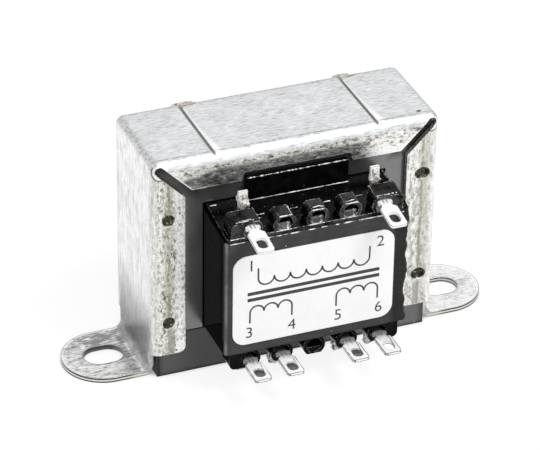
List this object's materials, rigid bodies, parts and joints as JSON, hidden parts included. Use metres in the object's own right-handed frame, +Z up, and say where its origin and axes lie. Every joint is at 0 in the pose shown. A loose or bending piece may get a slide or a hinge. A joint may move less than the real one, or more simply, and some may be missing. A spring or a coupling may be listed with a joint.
{
  "type": "chassis mount transformer",
  "caption": "Small EI-core mains transformer in a folded steel clamp frame with two slotted feet and front solder tags.",
  "frame": {"origin": "middle of the two fixing slots, on the mounting plane under the feet", "axes": "+X along the feet, +Y towards the back, away from the solder tags, +Z up"},
  "size_m": [0.066, 0.0377, 0.036],
  "materials": {
    "zinc_steel": "zinc plated, streaked, satin",
    "core_steel": "varnished sheet steel, satin",
    "former_moulding": "moulded black, glossy with varnish",
    "wrap_film": "dark film, satin",
    "label_paper": "white, matt",
    "tinned_metal": "bright tinned brass",
    "solder_metal": "satin solder",
    "lead_copper": "enamelled copper wire",
    "winding_copper": "enamelled copper winding",
    "tape_film": "polyester tape"
  },
  "bodies": {
    "root": {"clamp_frame": "zinc_steel", "e_lamination_stack": "core_steel", "i_lamination_stack": "core_steel", "coil_former": "former_moulding", "coil_wrap": "wrap_film", "rating_label": "label_paper", "primary_winding": "winding_copper", "secondary_winding_inner": "winding_copper", "secondary_winding_outer": "winding_copper", "primary_tape": "tape_film", "interwinding_tape": "tape_film", "secondary_tape": "tape_film", "primary_tag_left": "tinned_metal", "primary_tag_right": "tinned_metal", "secondary_tag_1": "tinned_metal", "secondary_tag_2": "tinned_metal", "secondary_tag_3": "tinned_metal", "secondary_tag_4": "tinned_metal", "primary_lead_left": "lead_copper", "primary_lead_right": "lead_copper", "secondary_lead_1": "lead_copper", "secondary_lead_2": "lead_copper", "secondary_lead_3": "lead_copper", "secondary_lead_4": "lead_copper", "primary_solder_left": "solder_metal", "primary_solder_right": "solder_metal", "secondary_solder_1": "solder_metal", "secondary_solder_2": "solder_metal", "secondary_solder_3": "solder_metal", "secondary_solder_4": "solder_metal"}
  },
  "joints": []
}
